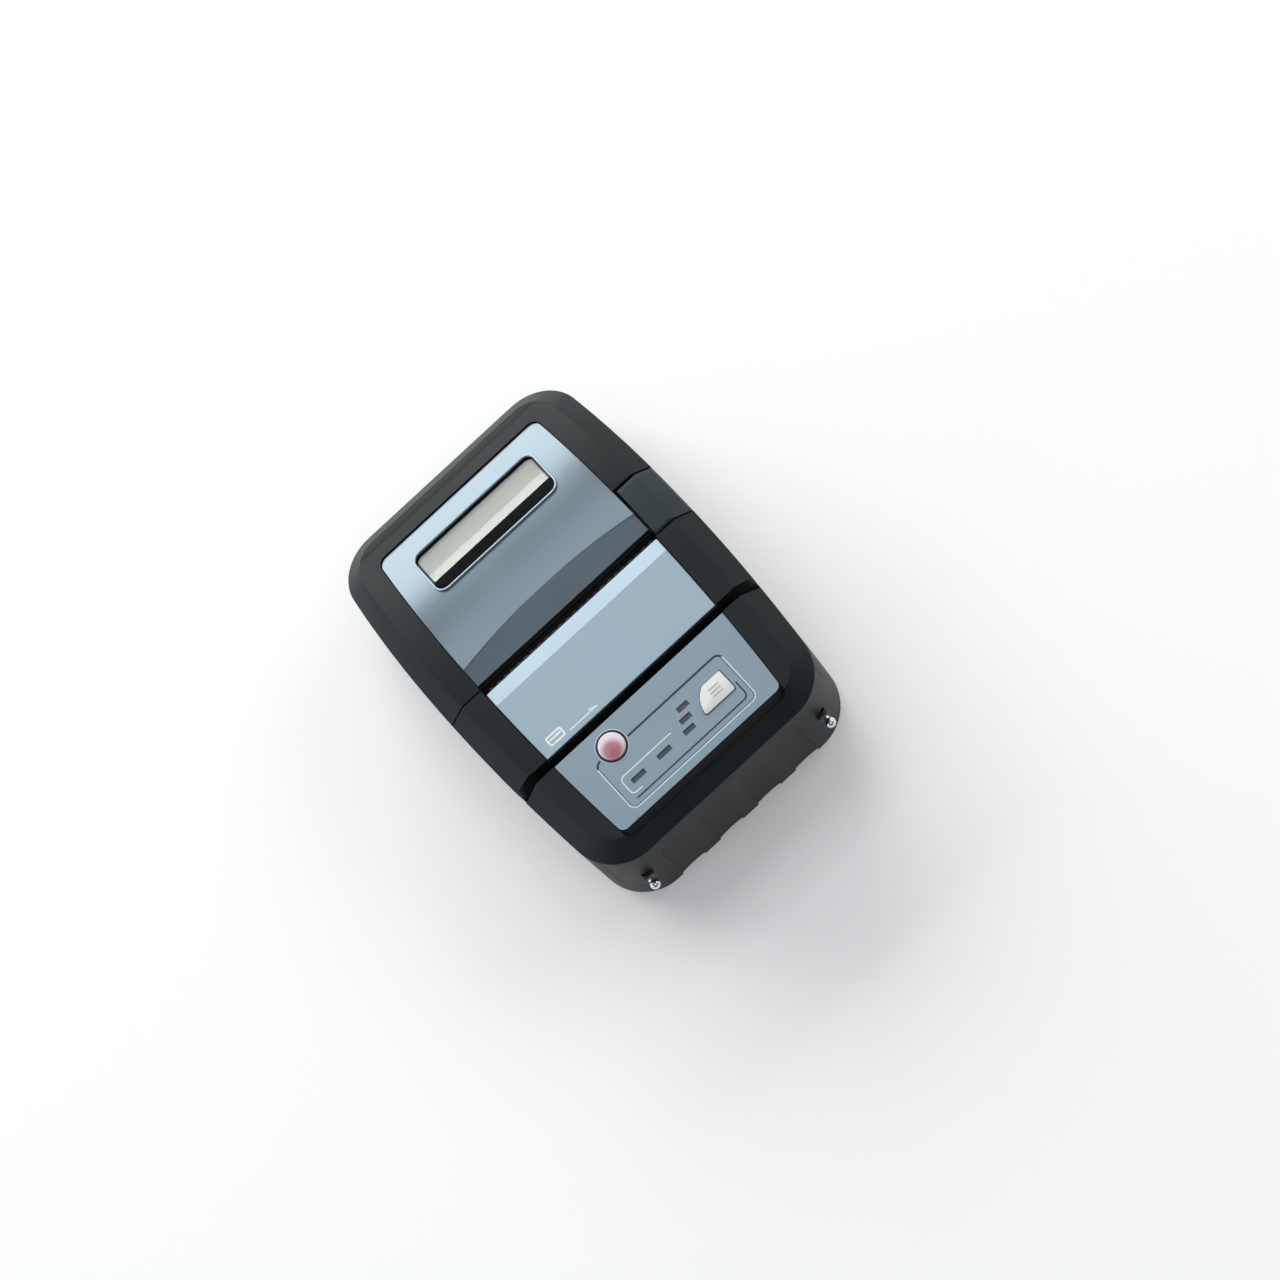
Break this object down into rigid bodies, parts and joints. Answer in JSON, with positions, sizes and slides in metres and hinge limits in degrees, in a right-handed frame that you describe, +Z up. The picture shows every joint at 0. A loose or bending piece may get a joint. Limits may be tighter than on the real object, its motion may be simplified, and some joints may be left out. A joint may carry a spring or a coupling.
{
  "type": "portable receipt printer",
  "caption": "Portable receipt printer with a rubber-edged hinged paper cover, side open button, card slot and underside battery.",
  "frame": {"origin": "middle of the flat underside of the case", "axes": "+Z up, -Y towards the front end with the strap studs, +X towards the open button's side"},
  "size_m": [0.079, 0.1182, 0.043],
  "materials": {
    "bumper_rubber": "satin soft-touch rubber",
    "case_plastic": "fine matte moulding",
    "panel_grey": "satin metallic blue-grey",
    "dark_plastic": "matte black",
    "lens_clear": "clear",
    "lamp_smoke": "smoked",
    "button_red": "translucent",
    "button_white": "glossy white",
    "steel": "brushed",
    "stud_chrome": "polished",
    "platen_rubber": "matte black rubber",
    "gear_nylon": "natural nylon",
    "head_alloy": "milled",
    "head_ceramic": "glazed",
    "motor_can": "zinc plated",
    "paper": "matt paper",
    "core_board": "grey board",
    "battery_case": "fine matte",
    "contact_gold": "gold plated",
    "board_green": "solder mask",
    "chip_black": "moulded"
  },
  "bodies": {
    "base": {"base_bumper": "bumper_rubber", "battery_contacts": "contact_gold", "board_parts": "chip_black", "card_track": "dark_plastic", "control_panel": "panel_grey", "heat_sink": "head_alloy", "hinge_pin": "steel", "indicator_chips": "button_white", "indicator_windows": "lamp_smoke", "lower_case": "case_plastic", "main_board": "board_green", "mid_panel": "panel_grey", "motor": "motor_can", "paper_cradle": "dark_plastic", "paper_guide": "dark_plastic", "print_chassis": "steel", "print_head": "head_ceramic", "push_switches": "chip_black", "reading_head": "steel", "strap_studs": "stud_chrome", "switch_board": "board_green", "tear_bar": "steel", "upper_case": "case_plastic"},
    "cover": {"cover_bumper": "bumper_rubber", "cover_shell": "case_plastic", "cover_panel": "panel_grey", "window_lens": "lens_clear", "platen_bracket": "case_plastic", "platen_bushings": "gear_nylon"},
    "platen": {"platen_roller": "platen_rubber", "platen_shaft": "steel", "platen_gear": "gear_nylon"},
    "idler": {"idler_gear": "gear_nylon"},
    "pinion": {"motor_pinion": "contact_gold"},
    "roll": {"paper_roll": "paper", "roll_core": "core_board"},
    "open_button": {"open_button": "bumper_rubber"},
    "latch_lever": {"latch_lever": "steel"},
    "power_button": {"power_button": "button_red"},
    "feed_button": {"feed_button": "button_white"},
    "battery": {"battery_pack": "battery_case"},
    "battery_latch": {"battery_latch": "dark_plastic"}
  },
  "joints": [
    {"name": "cover_hinge", "type": "hinge", "parent": "base", "child": "cover", "pos_m": [0, 0.053, 0.02], "axis": [-1, 0, 0], "range_deg": [0, 95]},
    {"name": "platen_spin", "type": "hinge", "parent": "cover", "child": "platen", "pos_m": [0, 0.0044, 0.031], "axis": [1, 0, 0], "continuous": true},
    {"name": "idler_spin", "type": "hinge", "parent": "base", "child": "idler", "pos_m": [0, 0.00194, 0.02036], "axis": [1, 0, 0], "continuous": true},
    {"name": "pinion_spin", "type": "hinge", "parent": "base", "child": "pinion", "pos_m": [0, -0.00483, 0.01426], "axis": [1, 0, 0], "continuous": true},
    {"name": "roll_spin", "type": "hinge", "parent": "base", "child": "roll", "pos_m": [0, 0.03, 0.0206], "axis": [1, 0, 0], "continuous": true},
    {"name": "open_press", "type": "slide", "parent": "cover", "child": "open_button", "axis": [0, 0, -1], "range_m": [0, 0.0016], "stiffness_N_per_m": 600, "springref_m": -0.001},
    {"name": "latch_pivot", "type": "hinge", "parent": "base", "child": "latch_lever", "pos_m": [0, 0.0072, 0.0205], "axis": [-1, 0, 0], "range_deg": [0, 16.28]},
    {"name": "power_press", "type": "slide", "parent": "base", "child": "power_button", "axis": [0, 0, -1], "range_m": [0, 0.0006], "stiffness_N_per_m": 800, "springref_m": -0.0005},
    {"name": "feed_press", "type": "slide", "parent": "base", "child": "feed_button", "axis": [0, 0, -1], "range_m": [0, 0.0006], "stiffness_N_per_m": 800, "springref_m": -0.0005},
    {"name": "battery_slide", "type": "slide", "parent": "base", "child": "battery", "axis": [0, 0, -1], "range_m": [0, 0.024]},
    {"name": "battery_latch_slide", "type": "slide", "parent": "battery", "child": "battery_latch", "axis": [0, -1, 0], "range_m": [0, 0.0013], "stiffness_N_per_m": 500, "springref_m": -0.0005}
  ],
  "couplings": [
    {"joint": "idler_spin", "follows": "platen_spin", "ratio": -0.8},
    {"joint": "pinion_spin", "follows": "platen_spin", "ratio": 1.6},
    {"joint": "latch_pivot", "follows": "open_press", "rad_per_m": 166.67}
  ]
}
